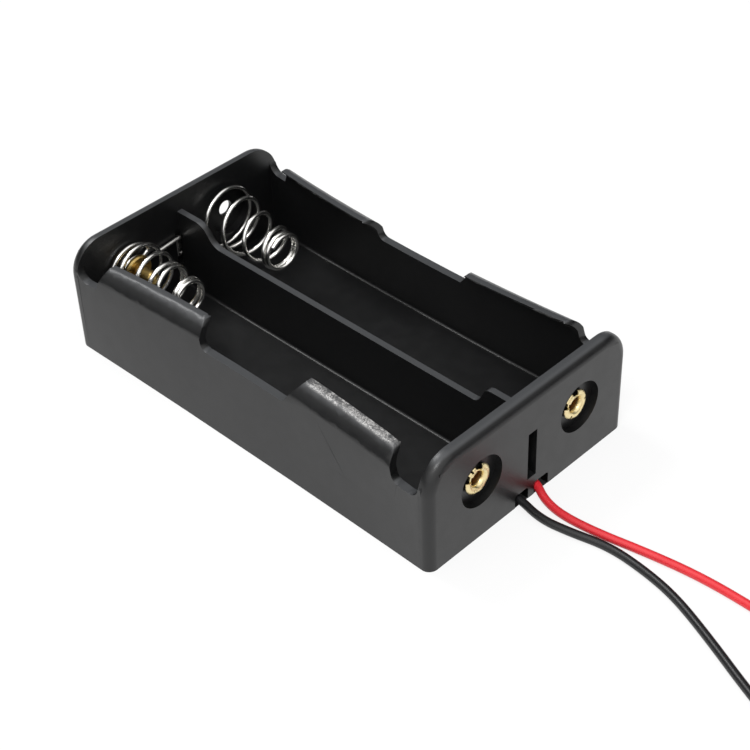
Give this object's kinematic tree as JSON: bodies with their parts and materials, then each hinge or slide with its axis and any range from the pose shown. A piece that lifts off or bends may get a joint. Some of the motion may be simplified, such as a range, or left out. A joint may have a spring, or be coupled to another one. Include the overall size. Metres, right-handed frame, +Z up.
{
  "type": "cylindrical cell holder",
  "caption": "Open black moulded holder for cylindrical cells side by side, with conical springs, split brass rivets and a red and a black lead.",
  "frame": {"origin": "centre of the housing's base", "axes": "+X towards the end where the leads come out, +Y towards the bay with the red lead's contact, +Z up out of the open bays"},
  "size_m": [0.143, 0.0424, 0.019],
  "materials": {
    "moulding": "satin",
    "spring_wire": "polished",
    "rivet": "polished",
    "contact_plate": "satin",
    "solder": "satin",
    "red_insulation": "satin",
    "black_insulation": "satin"
  },
  "bodies": {
    "holder": {"housing": "moulding", "link_wire": "spring_wire", "near_spring_rivet": "rivet", "near_contact_rivet": "rivet", "far_contact_rivet": "rivet", "near_contact_plate": "contact_plate", "far_contact_plate": "contact_plate", "near_solder": "solder", "far_solder": "solder", "red_strand": "solder", "black_strand": "solder", "red_lead": "red_insulation", "red_coil": "red_insulation", "red_end": "solder", "black_lead": "black_insulation", "black_coil": "black_insulation", "black_end": "solder"},
    "near_spring": {"near_spring": "spring_wire"},
    "far_spring": {"far_spring": "spring_wire"}
  },
  "joints": [
    {"name": "near_spring_press", "type": "slide", "parent": "holder", "child": "near_spring", "axis": [-1, 0, 0], "range_m": [0, 0.0082], "stiffness_N_per_m": 300, "deforming": ["near_spring"]},
    {"name": "far_spring_press", "type": "slide", "parent": "holder", "child": "far_spring", "axis": [-1, 0, 0], "range_m": [0, 0.0104], "stiffness_N_per_m": 250, "deforming": ["far_spring"]}
  ]
}
